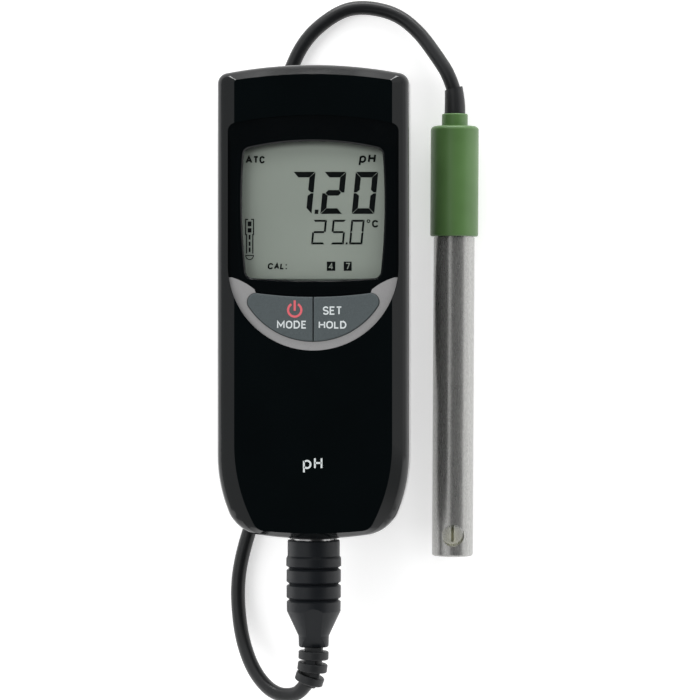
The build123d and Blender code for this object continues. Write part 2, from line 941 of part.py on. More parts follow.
with BuildPart() as temperature_sensor:
    with BuildSketch(along(10.6)):
        with Locations((4.25, 0)):
            Circle(0.97)
    extrude(amount=13)
    fillet(
        temperature_sensor.edges().filter_by(GeomType.CIRCLE).sort_by(Axis.Y)[0], 0.8
    )
save(temperature_sensor, "temperature_sensor")

with BuildPart() as reference_junction:
    with BuildSketch(along(12.4)):
        with Locations((-4.3, 0)):
            Circle(0.78)
    extrude(amount=5.6)
save(reference_junction, "reference_junction")

with BuildPart() as head_seal:
    with BuildSketch(along(tube_length - 3.0)):
        Circle(tube_bore - 0.02)
        Circle(stem_radius + 0.02, mode=Mode.SUBTRACT)
    extrude(amount=6.0)
save(head_seal, "head_seal")

with BuildPart() as preamp_board:
    with BuildSketch(along(tube_length + 9.5)):
        with Locations((0, 0.6)):
            Rectangle(10.4, 1.0)
    extrude(amount=20.0)
    with BuildSketch(along(tube_length + 13)):
        with Locations((0, -0.4)):
            Rectangle(4.4, 1.0)
    extrude(amount=5.0)
save(preamp_board, "preamp_board")

# ------------------------------------------------------------------
# lead: from the plug down to the surface, under the meter into a tied
# coil, and out past the display end to the probe. Points in the meter's
# drawing frame, x from the meter's centre line.
# ------------------------------------------------------------------
low_z = lead_diameter / 2 + coil_lift
lower_route = [
    (-2.55, -109.1, 23.7),
    (-6.1, -112.9, 21.0),
    (-13.2, -112.9, 16.6),
    (-19.5, -106.8, 11.4),
    (-23.5, -97.6, 6.8),
    (-25.3, -87.2, 3.7),
    (-25.55, -76.8, low_z),
    (-23.8, -67.0, low_z),
    (-20.5, -56.4, low_z),
    (-18.7, -43.5, low_z),
    (-19.3, -29.0, low_z),
    (-21.8, -14.5, low_z),
    (-25.0, -2.0, low_z),
    (-27.3, 8.2, low_z),
]
upper_route = [
    (-27.6, 19.9, low_z + lead_diameter),
    (-25.6, 34.5, 6.7),
    (-22.5, 48.5, 4.7),
    (-18.7, 62.5, 3.1),
    (-14.2, 76.5, low_z),
    (-9.3, 90.0, low_z),
    (-3.57, 103.2, low_z),
    (6.6, 111.8, low_z),
    (14.9, 114.4, low_z),
    (26.4, 112.3, 2.9),
    (34.3, 106.2, 4.0),
    (40.4, 97.6, 6.6),
]


def sleeve_point(s):
    """Point on the sleeve's leaning mouth axis, in the meter's drawing frame."""
    p = sleeve_end.offset(s).origin
    return (p.X - meter_x, p.Y - meter_y, p.Z)


upper_route.append(sleeve_point(3.4))
upper_route.append(sleeve_point(-4.4))
print("end of the upper route", [tuple(round(c, 4) for c in p) for p in upper_route[-2:]])


def lead_tube(route, name):
    points = [Vector(meter_x + x, meter_y + y, z) for x, y, z in route]
    radii = []
    for a, b, c in zip(points, points[1:], points[2:]):
        turn = (b - a).get_angle(c - b)
        shorter = min((b - a).length, (c - b).length)
        radii.append(0.45 * shorter / math.tan(math.radians(turn) / 2))
    with BuildPart() as tube:
        with BuildLine() as path:
            FilletPolyline(*points, radius=radii)
        with BuildSketch(Plane(origin=path.line @ 0, z_dir=path.line % 0)):
            Circle(lead_diameter / 2)
        sweep()
    length = sum(e.length for e in path.edges())
    section = math.pi * lead_diameter**2 / 4
    print(
        name,
        "length",
        round(length, 2),
        "volume ratio",
        round(tube.part.volume / (section * length), 5),
        "radii",
        [round(r, 1) for r in radii],
    )
    return tube, length


cable_lower, lower_length = lead_tube(lower_route, "cable_lower")
save(cable_lower, "cable_lower")
cable_upper, upper_length = lead_tube(upper_route, "cable_upper")
save(cable_upper, "cable_upper")

coil_lanes = [28.0, 23.3, 18.6, 18.6, 23.3]
coil_length = 2 * math.pi * sum(coil_lanes)
print("coil length", round(coil_length, 1))
print("lead length", round(lower_length + coil_length + upper_length, 1))

with BuildPart() as cable_coil:
    with BuildSketch(Plane(origin=(meter_x, meter_y + coil_y, coil_lift), x_dir=(1, 0, 0), z_dir=(0, -1, 0))):
        with Locations(((coil_inner + coil_outer) / 2, coil_height / 2)):
            RectangleRounded(coil_outer - coil_inner, coil_height, 2.2)
    revolve(axis=Axis((meter_x, meter_y + coil_y, 0), (0, 0, 1)))
save(cable_coil, "cable_coil")

# flat tie round the coil's section, on its side away from the lead's ends
with BuildPart() as cable_tie:
    with BuildSketch(
        Plane(origin=(meter_x, meter_y + coil_y, 0), x_dir=(0, 1, 0), z_dir=(1, 0, 0))
    ):
        with Locations((-(coil_inner + coil_outer) / 2, coil_lift + coil_height / 2)):
            RectangleRounded(
                coil_outer - coil_inner + 2.0, coil_height + 2 * coil_lift, 2.4
            )
            RectangleRounded(
                coil_outer - coil_inner + 0.5, coil_height + 0.02, 2.2,
                mode=Mode.SUBTRACT,
            )
    extrude(amount=1.8, both=True)
    with BuildSketch(level(3.2)):
        with Locations((0, coil_y - coil_inner + 2.2)):
            Rectangle(4.6, 3.2)
    extrude(amount=3.6)
save(cable_tie, "cable_tie")

# ------------------------------------------------------------------
# sizes for the record
# ------------------------------------------------------------------
own = [
    front_case, rear_case, probe_tube, probe_head,
]
lo = [1e9] * 3
hi = [-1e9] * 3
for b in own:
    bb = b.part.bounding_box()
    for i, (l, h) in enumerate(zip(tuple(bb.min), tuple(bb.max))):
        lo[i] = min(lo[i], l)
        hi[i] = max(hi[i], h)
print("own box", [round(v, 3) for v in lo], [round(v, 3) for v in hi])
print("own centre", [(round((a + b) / 2, 3)) for a, b in zip(lo, hi)])
print("probe axis", probe_z, "tip", probe_tip)
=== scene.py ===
import math

import bmesh
import bpy
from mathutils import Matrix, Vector


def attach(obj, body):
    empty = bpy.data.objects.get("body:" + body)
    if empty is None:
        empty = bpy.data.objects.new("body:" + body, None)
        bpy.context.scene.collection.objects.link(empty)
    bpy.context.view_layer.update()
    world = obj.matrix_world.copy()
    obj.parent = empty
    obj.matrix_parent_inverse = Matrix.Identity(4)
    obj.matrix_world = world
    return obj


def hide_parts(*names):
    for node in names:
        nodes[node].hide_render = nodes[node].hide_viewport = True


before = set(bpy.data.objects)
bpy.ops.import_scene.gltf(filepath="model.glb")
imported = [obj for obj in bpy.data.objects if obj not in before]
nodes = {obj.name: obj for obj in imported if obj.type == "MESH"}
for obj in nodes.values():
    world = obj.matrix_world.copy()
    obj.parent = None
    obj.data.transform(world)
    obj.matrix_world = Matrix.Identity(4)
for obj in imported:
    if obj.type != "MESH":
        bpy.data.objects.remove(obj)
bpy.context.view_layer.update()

scene = bpy.context.scene
scene.view_settings.view_transform = "Standard"
scene.view_settings.look = "None"
scene.view_settings.exposure = 0.0
scene.view_settings.gamma = 1.0

MM = 0.001
# the meter's drawing origin, and the point below the camera, in millimetres
METER_X, METER_Y = -11.45, -12.16
EYE_X, EYE_Y, EYE_Z = 0.35, -12.16, 1000.0
FOCAL = 2998.0


# ------------------------------------------------------------------
# camera: straight above
# ------------------------------------------------------------------
cam_data = bpy.data.cameras.new("camera")
cam_data.sensor_width = 36.0
cam_data.lens = FOCAL / 700.0 * 36.0
cam_data.clip_start = 0.01
cam_data.clip_end = 20.0
camera = bpy.data.objects.new("camera", cam_data)
camera.location = (EYE_X * MM, EYE_Y * MM, EYE_Z * MM)
camera.rotation_euler = (0.0, 0.0, 0.0)
scene.collection.objects.link(camera)
scene.camera = camera


def seen(x, y, z):
    """Row point (mm) at height z that the camera sees at that place of its frame."""
    k = (EYE_Z - z) / FOCAL
    return ((x - 350.0) * k + EYE_X, (350.0 - y) * k + EYE_Y, z)


# ------------------------------------------------------------------
# materials
# ------------------------------------------------------------------
def srgb(r, g, b):
    def lin(c):
        c /= 255.0
        return c / 12.92 if c <= 0.04045 else ((c + 0.055) / 1.055) ** 2.4
    return (lin(r), lin(g), lin(b), 1.0)


class Tree:
    """A small helper round one material's node tree."""

    def __init__(self, name):
        self.mat = bpy.data.materials.new(name)
        self.mat.use_nodes = True
        self.t = self.mat.node_tree
        self.bsdf = self.t.nodes["Principled BSDF"]
        self.out = self.t.nodes["Material Output"]
        self.coord = self.t.nodes.new("ShaderNodeTexCoord")

    def node(self, kind, **props):
        n = self.t.nodes.new(kind)
        for k, v in props.items():
            setattr(n, k, v)
        return n

    def link(self, a, b):
        self.t.links.new(a, b)

    def space(self, scale=(1, 1, 1), rot=(0, 0, 0), loc=(0, 0, 0)):
        m = self.node("ShaderNodeMapping")
        m.inputs["Scale"].default_value = scale
        m.inputs["Rotation"].default_value = rot
        m.inputs["Location"].default_value = loc
        self.link(self.coord.outputs["Object"], m.inputs["Vector"])
        return m.outputs["Vector"]

    def noise(self, scale, detail=3.0, rough=0.5, stretch=(1, 1, 1), distortion=0.0):
        n = self.node("ShaderNodeTexNoise")
        n.inputs["Scale"].default_value = scale
        n.inputs["Detail"].default_value = detail
        n.inputs["Roughness"].default_value = rough
        n.inputs["Distortion"].default_value = distortion
        self.link(self.space(stretch), n.inputs["Vector"])
        return n.outputs["Fac"]

    def remap(self, value, a, b, lo=0.3, hi=0.7):
        m = self.node("ShaderNodeMapRange")
        m.inputs["From Min"].default_value = lo
        m.inputs["From Max"].default_value = hi
        m.inputs["To Min"].default_value = a
        m.inputs["To Max"].default_value = b
        self.link(value, m.inputs["Value"])
        return m.outputs["Result"]

    def mix(self, fac, a, b):
        m = self.node("ShaderNodeMix", data_type="RGBA")
        self.link(fac, m.inputs["Factor"])
        m.inputs["A"].default_value = a
        m.inputs["B"].default_value = b
        return m.outputs["Result"]

    def set(self, **values):
        for k, v in values.items():
            self.bsdf.inputs[k.replace("_", " ")].default_value = v

    def bump(self, height, strength, distance, under=None):
        b = self.node("ShaderNodeBump")
        b.inputs["Strength"].default_value = strength
        b.inputs["Distance"].default_value = distance
        self.link(height, b.inputs["Height"])
        if under is not None:
            self.link(under, b.inputs["Normal"])
        return b.outputs["Normal"]


def tint(color, k):
    return (min(color[0] * k, 1), min(color[1] * k, 1), min(color[2] * k, 1), 1.0)


def finish_of(name, color, rough=0.4, metal=0.0, spec=0.5, vary=0.12, patch=60.0,
              grain=2500.0, grain_depth=0.00002, grain_strength=0.25, rough_vary=0.06,
              stretch=(1, 1, 1), **more):
    """A moulded, painted or bare surface: colour that varies slowly, a fine
    grain in its relief and patches in its roughness."""
    m = Tree(name)
    slow = m.noise(patch, 3.0)
    m.link(m.mix(m.remap(slow, 0, 1), tint(color, 1 - vary), tint(color, 1 + vary)),
           m.bsdf.inputs["Base Color"])
    fine = m.noise(grain, 2.0, stretch=stretch)
    smear = m.noise(patch * 2.3, 4.0, 0.6, distortion=0.4)
    m.link(m.remap(smear, max(rough - rough_vary, 0.02), rough + rough_vary),
           m.bsdf.inputs["Roughness"])
    if grain_strength > 0:
        m.link(m.bump(fine, grain_strength, grain_depth), m.bsdf.inputs["Normal"])
    m.set(Metallic=metal, Specular_IOR_Level=spec, **more)
    return m.mat


def assign(node, material):
    o = nodes[node]
    if not o.material_slots:
        o.data.materials.append(material)
    for s in o.material_slots:
        s.material = material


# glossy front shell
case_front = finish_of("case_front", (0.0012, 0.0022, 0.0026, 1), rough=0.085, spec=0.36,
                       vary=0.1, grain=700.0, grain_depth=0.000004, grain_strength=0.1,
                       rough_vary=0.02)
assign("front_case", case_front)
rear_texture = finish_of("rear_texture", (0.012, 0.0125, 0.013, 1), rough=0.42, spec=0.4,
                         grain=1600.0, grain_depth=0.00006, grain_strength=0.5)
assign("rear_case", rear_texture)
assign("case_gasket", finish_of("gasket_rubber", (0.02, 0.02, 0.021, 1), rough=0.65, spec=0.3))
assign("case_screws", finish_of("screw_steel", (0.5, 0.5, 0.52, 1), rough=0.3, metal=1.0,
                                grain=4000.0, stretch=(1, 1, 0.1)))
assign("threaded_inserts", finish_of("insert_brass", (0.72, 0.52, 0.2, 1), rough=0.32, metal=1.0,
                                     grain=4500.0))
bezel_gloss = finish_of("bezel_gloss", (0.0012, 0.0019, 0.0023, 1), rough=0.12, spec=0.4,
                        vary=0.1, grain=900.0, grain_depth=0.000004, grain_strength=0.1,
                        rough_vary=0.03)
assign("display_bezel", bezel_gloss)
assign("lcd_holder", finish_of("holder_plastic", (0.62, 0.62, 0.6, 1), rough=0.5, spec=0.35))
assign("zebra_strips", finish_of("zebra_rubber", (0.2, 0.2, 0.22, 1), rough=0.6, spec=0.3,
                                 grain=3000.0, stretch=(6, 0.2, 0.2), grain_strength=0.6))
assign("keypad_membrane", finish_of("membrane_silicone", (0.3, 0.31, 0.33, 1), rough=0.6, spec=0.35))


def board_finish():
    m = Tree("board_laminate")
    weave = m.noise(900.0, 2.0)
    traces = m.node("ShaderNodeTexBrick")
    traces.inputs["Scale"].default_value = 160.0
    traces.inputs["Mortar Size"].default_value = 0.03
    traces.inputs["Color1"].default_value = (0.012, 0.085, 0.03, 1)
    traces.inputs["Color2"].default_value = (0.016, 0.1, 0.036, 1)
    traces.inputs["Mortar"].default_value = (0.03, 0.16, 0.06, 1)
    m.link(m.space(), traces.inputs["Vector"])
    m.link(traces.outputs["Color"], m.bsdf.inputs["Base Color"])
    m.link(m.remap(weave, 0.28, 0.42), m.bsdf.inputs["Roughness"])
    m.link(m.bump(traces.outputs["Fac"], 0.3, 0.00004), m.bsdf.inputs["Normal"])
    return m.mat


board = board_finish()
assign("main_board", board)
assign("preamp_board", board)
assign("board_parts", finish_of("chip_plastic", (0.014, 0.014, 0.015, 1), rough=0.5))
assign("battery_tray", finish_of("tray_plastic", (0.02, 0.02, 0.021, 1), rough=0.5))
assign("batteries", finish_of("cell_can", (0.16, 0.19, 0.22, 1), rough=0.28, metal=0.7, vary=0.05))
assign("battery_contacts", finish_of("spring_plate", (0.62, 0.62, 0.6, 1), rough=0.22, metal=1.0))
assign("socket_housing", finish_of("socket_plastic", (0.014, 0.015, 0.016, 1), rough=0.38))
assign("socket_insert", finish_of("socket_insulator", (0.02, 0.02, 0.021, 1), rough=0.5))
assign("socket_contacts", finish_of("contact_gold", (0.78, 0.56, 0.2, 1), rough=0.2, metal=1.0))
assign("socket_seal", finish_of("seal_rubber", (0.03, 0.03, 0.031, 1), rough=0.7, spec=0.3))
assign("plug_shell", finish_of("shell_plate", (0.6, 0.6, 0.6, 1), rough=0.25, metal=1.0))
assign("plug_insert", finish_of("plug_insulator", (0.02, 0.02, 0.021, 1), rough=0.5))
assign("plug_pins", finish_of("pin_gold", (0.78, 0.56, 0.2, 1), rough=0.18, metal=1.0))

soft_black = finish_of("soft_black", (0.008, 0.0095, 0.0115, 1), rough=0.4, spec=0.3,
                       vary=0.15, grain=2600.0, grain_depth=0.00002, grain_strength=0.3)
assign("plug_body", soft_black)
assign("plug_strain_relief", finish_of("relief_rubber", (0.012, 0.013, 0.014, 1), rough=0.46,
                                       spec=0.4, grain=2600.0))
assign("probe_strain_relief", finish_of("sleeve_rubber", (0.016, 0.017, 0.018, 1), rough=0.4,
                                        spec=0.4, grain=2600.0))
assign("cable_tie", finish_of("tie_plastic", (0.012, 0.012, 0.013, 1), rough=0.42))


def trim_finish():
    m = Tree("trim_silver")
    flake = m.noise(9000.0, 1.0)
    slow = m.noise(90.0, 2.0)
    color = m.mix(m.remap(flake, 0, 1), (0.25, 0.248, 0.25, 1), (0.345, 0.343, 0.345, 1))
    m.link(color, m.bsdf.inputs["Base Color"])
    m.link(m.remap(slow, 0.36, 0.46), m.bsdf.inputs["Roughness"])
    m.link(m.bump(flake, 0.15, 0.00001), m.bsdf.inputs["Normal"])
    m.set(Metallic=0.25, Specular_IOR_Level=0.5)
    return m.mat


assign("keypad_trim", trim_finish())


def key_finish():
    m = Tree("key_rubber")
    fine = m.noise(5200.0, 2.0, 0.6)
    color = m.mix(m.remap(fine, 0, 1), (0.044, 0.054, 0.057, 1), (0.086, 0.103, 0.108, 1))
    m.link(color, m.bsdf.inputs["Base Color"])
    m.link(m.remap(fine, 0.62, 0.5), m.bsdf.inputs["Roughness"])
    m.link(m.bump(fine, 0.5, 0.00004), m.bsdf.inputs["Normal"])
    m.set(Specular_IOR_Level=0.35)
    return m.mat


key_rubber = key_finish()
assign("mode_button", key_rubber)
assign("set_button", key_rubber)


def lcd_face_with_painted_shadow():
    """Grey-green display, with a painted shadow darkening it under its arched upper edge."""
    m = Tree("lcd_face")
    grain = m.noise(1800.0, 2.0)
    slow = m.noise(25.0, 1.0)
    sep = m.node("ShaderNodeSeparateXYZ")
    m.link(m.coord.outputs["Object"], sep.inputs["Vector"])
    # height below the window's arched upper edge, where the painted shadow lies
    square = m.node("ShaderNodeMath", operation="MULTIPLY")
    shift = m.node("ShaderNodeMath", operation="SUBTRACT")
    m.link(sep.outputs["X"], shift.inputs[0])
    shift.inputs[1].default_value = METER_X * MM
    m.link(shift.outputs[0], square.inputs[0])
    m.link(shift.outputs[0], square.inputs[1])
    arch = m.node("ShaderNodeMath", operation="MULTIPLY_ADD")
    m.link(square.outputs[0], arch.inputs[0])
    arch.inputs[1].default_value = 1 / (2 * 0.095)
    m.link(sep.outputs["Y"], arch.inputs[2])
    # mask of the painted shadow: 1 right under the window's upper edge, 0 about 2 mm lower
    edge = m.node("ShaderNodeMapRange")
    edge.interpolation_type = "SMOOTHSTEP"
    edge.inputs["From Min"].default_value = (65.0 + METER_Y) * MM
    edge.inputs["From Max"].default_value = (67.1 + METER_Y) * MM
    edge.inputs["To Min"].default_value = 0.0
    edge.inputs["To Max"].default_value = 1.0
    m.link(arch.outputs[0], edge.inputs["Value"])
    base = m.mix(m.remap(slow, 0, 1), (0.298, 0.337, 0.297, 1), (0.326, 0.366, 0.323, 1))
    # painted shadow: the display colour is mixed towards dark grey-green under the bezel's upper edge
    painted_shadow_mix = m.node("ShaderNodeMix", data_type="RGBA")
    m.link(edge.outputs["Result"], painted_shadow_mix.inputs["Factor"])
    m.link(base, painted_shadow_mix.inputs["A"])
    painted_shadow_mix.inputs["B"].default_value = (0.10, 0.112, 0.10, 1)
    m.link(painted_shadow_mix.outputs["Result"], m.bsdf.inputs["Base Color"])
    m.link(m.remap(grain, 0.5, 0.6), m.bsdf.inputs["Roughness"])
    m.set(Specular_IOR_Level=0.2)
    return m.mat


assign("lcd_glass", lcd_face_with_painted_shadow())


def lens_finish():
    """Clear sheet: shows what is under it, with a weak surface gloss."""
    m = Tree("lens_clear")
    smear = m.noise(45.0, 3.0, 0.6)
    m.link(m.remap(smear, 0.03, 0.08), m.bsdf.inputs["Roughness"])
    m.set(Base_Color=(0.01, 0.012, 0.012, 1), Alpha=0.08, Specular_IOR_Level=0.5)
    return m.mat


assign("display_lens", lens_finish())


def tube_finish():
    """Brushed grey metal, drawn lengthwise and flecked."""
    m = Tree("tube_metal")
    drawn = m.noise(2600.0, 3.0, 0.6, stretch=(1.0, 0.05, 1.0))
    fleck = m.noise(1900.0, 2.0, 0.7, stretch=(1.0, 0.6, 1.0))
    color = m.mix(m.remap(fleck, 0, 1), (0.37, 0.37, 0.36, 1), (0.50, 0.50, 0.485, 1))
    m.link(color, m.bsdf.inputs["Base Color"])
    m.link(m.remap(drawn, 0.23, 0.33), m.bsdf.inputs["Roughness"])
    first = m.bump(drawn, 0.35, 0.00002)
    m.link(m.bump(fleck, 0.2, 0.00003, first), m.bsdf.inputs["Normal"])
    m.set(Metallic=0.75, Specular_IOR_Level=0.5)
    return m.mat


assign("probe_tube", tube_finish())


def head_finish():
    m = Tree("head_green")
    drawn = m.noise(2400.0, 3.0, 0.6, stretch=(1.0, 0.08, 1.0))
    slow = m.noise(70.0, 2.0)
    color = m.mix(m.remap(slow, 0, 1), (0.078, 0.165, 0.050, 1), (0.098, 0.200, 0.064, 1))
    m.link(color, m.bsdf.inputs["Base Color"])
    m.link(m.remap(drawn, 0.30, 0.42), m.bsdf.inputs["Roughness"])
    m.link(m.bump(drawn, 0.3, 0.00002), m.bsdf.inputs["Normal"])
    m.set(Specular_IOR_Level=0.5)
    return m.mat


assign("probe_head", head_finish())


def clear_glass(name, color, alpha, rough=0.04):
    m = Tree(name)
    smear = m.noise(120.0, 2.0)
    m.link(m.remap(smear, rough, rough + 0.05), m.bsdf.inputs["Roughness"])
    m.set(Base_Color=color, Alpha=alpha, Specular_IOR_Level=0.7)
    return m.mat


assign("glass_bulb", clear_glass("bulb_glass", (0.5, 0.5, 0.3, 1), 0.26))
assign("glass_stem", clear_glass("stem_glass", (0.55, 0.58, 0.5, 1), 0.35))
assign("electrode_wire", finish_of("wire_coat", (0.03, 0.028, 0.026, 1), rough=0.4, metal=0.4))
assign("sensor_bulkhead", finish_of("bulkhead_seal", (0.12, 0.12, 0.12, 1), rough=0.6))
assign("head_seal", finish_of("head_potting", (0.08, 0.08, 0.08, 1), rough=0.6))
assign("temperature_sensor", finish_of("sensor_steel", (0.55, 0.55, 0.55, 1), rough=0.25, metal=1.0))
assign("reference_junction", finish_of("junction_ceramic", (0.7, 0.68, 0.62, 1), rough=0.8, spec=0.3))


# ------------------------------------------------------------------
# lead: one smooth line from the probe's sleeve to the plug. Points in the
# meter's drawing frame, in millimetres.
# ------------------------------------------------------------------
LEAD = 4.7
LOW = 2.65
lower_route = [
    (-0.53, -105.6, 24.67),
    (-2.55, -109.1, 23.7),
    (-6.1, -112.9, 21.0),
    (-13.2, -112.9, 16.6),
    (-19.5, -106.8, 11.4),
    (-23.5, -97.6, 6.8),
    (-25.3, -87.2, 3.7),
    (-25.55, -76.8, LOW),
    (-23.8, -67.0, LOW),
    (-20.5, -56.4, LOW),
    (-18.7, -43.5, LOW),
    (-19.3, -29.0, LOW),
    (-21.8, -14.5, LOW),
    (-25.0, -2.0, LOW),
    (-27.3, 8.2, LOW),
]
upper_route = [
    (-27.6, 19.9, LOW + LEAD),
    (-25.6, 34.5, 6.7),
    (-22.5, 48.5, 4.7),
    (-18.7, 62.5, 3.1),
    (-14.2, 76.5, LOW),
    (-9.3, 90.0, LOW),
    (-3.57, 103.2, LOW),
    (6.6, 111.8, LOW),
    (14.9, 114.4, LOW),
    (26.4, 112.3, 2.9),
    (34.3, 106.2, 4.0),
    (40.4, 97.6, 6.6),
    (45.2744, 89.794, 8.5337),
    (47.1212, 82.2163, 8.4506),
]


def ease(a, b, f):
    f = min(max(f, 0.0), 1.0)
    f = f * f * (3 - 2 * f)
    return a + (b - a) * f


def coil_point(turned):
    """Point of the coil after so many degrees: three turns below from the
    outside in, then two above from the inside out."""
    if turned < 360:
        r = ease(28.0, 23.3, (turned - 300) / 60)
    elif turned < 720:
        r = ease(23.3, 18.6, (turned - 660) / 60)
    elif turned < 1440:
        r = ease(18.6, 23.3, (turned - 1253) / 60)
    else:
        r = ease(23.3, 28.0, (turned - 1613) / 60)
    z = ease(LOW, LOW + LEAD, (turned - 960) / 85)
    angle = math.radians(193 - turned)
    r *= 1.0195
    return (r * math.cos(angle), 15.0 + r * math.sin(angle), z)


coil_route = [coil_point(22.5 * k) for k in range(1, 81)]
route = lower_route + coil_route + upper_route
route = [(x + METER_X, y + METER_Y, z) for x, y, z in route][::-1]

line = bpy.data.curves.new("lead", "CURVE")
line.dimensions = "3D"
spline = line.splines.new("NURBS")
spline.points.add(len(route) - 1)
for p, (x, y, z) in zip(spline.points, route):
    p.co = (x * MM, y * MM, z * MM, 1.0)
spline.order_u = 3
spline.use_endpoint_u = True
spline.resolution_u = 8
line.bevel_depth = LEAD / 2 * MM
line.bevel_resolution = 6
line.use_fill_caps = True
lead = bpy.data.objects.new("lead", line)
scene.collection.objects.link(lead)


def jacket_finish():
    m = Tree("lead_jacket")
    fine = m.noise(1700.0, 2.0)
    slow = m.noise(40.0, 3.0)
    color = m.mix(m.remap(slow, 0, 1), (0.006, 0.0066, 0.0072, 1), (0.011, 0.012, 0.013, 1))
    m.link(color, m.bsdf.inputs["Base Color"])
    m.link(m.remap(slow, 0.30, 0.42), m.bsdf.inputs["Roughness"])
    m.link(m.bump(fine, 0.2, 0.00003), m.bsdf.inputs["Normal"])
    m.set(Specular_IOR_Level=0.45)
    return m.mat


line.materials.append(jacket_finish())
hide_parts("cable_lower", "cable_coil", "cable_upper")
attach(lead, "meter")


# ------------------------------------------------------------------
# printed marks: thin closed shapes standing on the surface that carries them
# ------------------------------------------------------------------
def slope_z(y_row):
    """Height of the keys' sloping tops at that row y, in millimetres."""
    y = y_row - METER_Y
    rise = (40.0 - 38.05) / 23.5
    return 40.0 - (y + 0.2) * rise + 0.35 * math.sqrt(1 + rise * rise)


def on_key(x, y):
    """The place on the keys' tops that the camera sees at x, y."""
    z = 39.4
    for _ in range(4):
        p = seen(x, y, z)
        z = slope_z(p[1])
    p = seen(x, y, z)
    return (p[0], p[1], z)


def on_flat(z):
    return lambda x, y: seen(x, y, z)


class Print:
    """Collects closed polygons in the frame's pixels, then stands them on a surface."""

    def __init__(self, name, place, material, body, thick=0.035):
        self.name, self.place, self.material = name, place, material
        self.body, self.thick, self.polys = body, thick, []

    def poly(self, pts):
        self.polys.append(list(pts))

    def line(self, pts, width, closed=False):
        """A stroke of constant width along pts, mitred at its corners."""
        pts = [Vector(p) for p in pts]
        n = len(pts)
        left, right = [], []
        for i, p in enumerate(pts):
            a = pts[i - 1] if (i > 0 or closed) else None
            b = pts[(i + 1) % n] if (i < n - 1 or closed) else None
            d1 = (p - a).normalized() if a is not None else None
            d2 = (b - p).normalized() if b is not None else None
            d1 = d1 or d2
            d2 = d2 or d1
            n1 = Vector((-d1.y, d1.x))
            n2 = Vector((-d2.y, d2.x))
            m = n1 + n2
            m = m.normalized() if m.length > 1e-6 else n1
            k = width / 2 / max(m.dot(n1), 0.45)
            left.append(p + m * k)
            right.append(p - m * k)
        count = n if closed else n - 1
        for i in range(count):
            j = (i + 1) % n
            self.poly([left[i], left[j], right[j], right[i]])

    def ring(self, cx, cy, r, width, start=0.0, end=360.0, steps=40):
        whole = end - start >= 359.9
        k = steps if whole else steps + 1
        pts = [
            (cx + r * math.cos(math.radians(start + (end - start) * i / steps)),
             cy - r * math.sin(math.radians(start + (end - start) * i / steps)))
            for i in range(k)
        ]
        self.line(pts, width, closed=whole)

    def disc(self, cx, cy, r, steps=16):
        self.poly([(cx + r * math.cos(2 * math.pi * i / steps),
                    cy + r * math.sin(2 * math.pi * i / steps)) for i in range(steps)])

    def done(self, slot=None):
        bm = bmesh.new()
        for pts in self.polys:
            area = sum(a[0] * b[1] - b[0] * a[1] for a, b in zip(pts, pts[1:] + pts[:1]))
            if area > 0:
                pts = pts[::-1]
            low, high = [], []
            for p in pts:
                x, y, z = self.place(p[0], p[1])
                low.append(bm.verts.new((x * MM, y * MM, (z - 0.004) * MM)))
                high.append(bm.verts.new((x * MM, y * MM, (z + self.thick) * MM)))
            bm.faces.new(high)
            bm.faces.new(low[::-1])
            n = len(pts)
            for i in range(n):
                j = (i + 1) % n
                bm.faces.new((low[i], low[j], high[j], high[i]))
        bmesh.ops.recalc_face_normals(bm, faces=bm.faces)
        mesh = bpy.data.meshes.new(self.name)
        bm.to_mesh(mesh)
        bm.free()
        mesh.materials.append(self.material)
        o = bpy.data.objects.new(self.name, mesh)
        scene.collection.objects.link(o)
        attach(o, self.body)
        return o


def arc(cx, cy, rx, ry, a, b, steps=14):
    return [(cx + rx * math.cos(math.radians(a + (b - a) * i / steps)),
             cy + ry * math.sin(math.radians(a + (b - a) * i / steps)))
            for i in range(steps + 1)]


# strokes of each character in a box one wide and one high, y upwards
STROKES = {
    "M": [[(0, 0), (0, 1), (0.5, 0.30), (1, 1), (1, 0)]],
    "O": [arc(0.5, 0.62, 0.5, 0.38, 0, 180) + arc(0.5, 0.38, 0.5, 0.38, 180, 360) + [(1, 0.62)]],
    "D": [[(0, 0), (0, 1), (0.45, 1)] + arc(0.45, 0.5, 0.55, 0.5, 90, -90) + [(0, 0)]],
    "E": [[(1, 1), (0, 1), (0, 0), (1, 0)], [(0, 0.52), (0.85, 0.52)]],
    "S": [arc(0.5, 0.75, 0.48, 0.25, 15, 180, 9) + arc(0.5, 0.75, 0.5, 0.25, 195, 262, 5)
          + arc(0.5, 0.25, 0.5, 0.25, 82, 0, 6) + arc(0.5, 0.25, 0.5, 0.25, -10, -165, 9)],
    "T": [[(0, 1), (1, 1)], [(0.5, 1), (0.5, 0)]],
    "H": [[(0, 0), (0, 1)], [(1, 0), (1, 1)], [(0, 0.52), (1, 0.52)]],
    "L": [[(0, 1), (0, 0), (1, 0)]],
    "A": [[(0, 0), (0.5, 1), (1, 0)], [(0.2, 0.34), (0.8, 0.34)]],
    "C": [arc(0.5, 0.62, 0.5, 0.38, 20, 180) + arc(0.5, 0.38, 0.5, 0.38, 180, 340)],
    "p": [[(0, -0.42), (0, 0.72)], [(0, 0.62)] + arc(0.45, 0.36, 0.5, 0.36, 110, -110, 14) + [(0, 0.1)]],
    "4": [[(0.68, 0), (0.68, 1), (0, 0.3), (1, 0.3)]],
    "7": [[(0, 1), (1, 1), (0.35, 0)]],
}


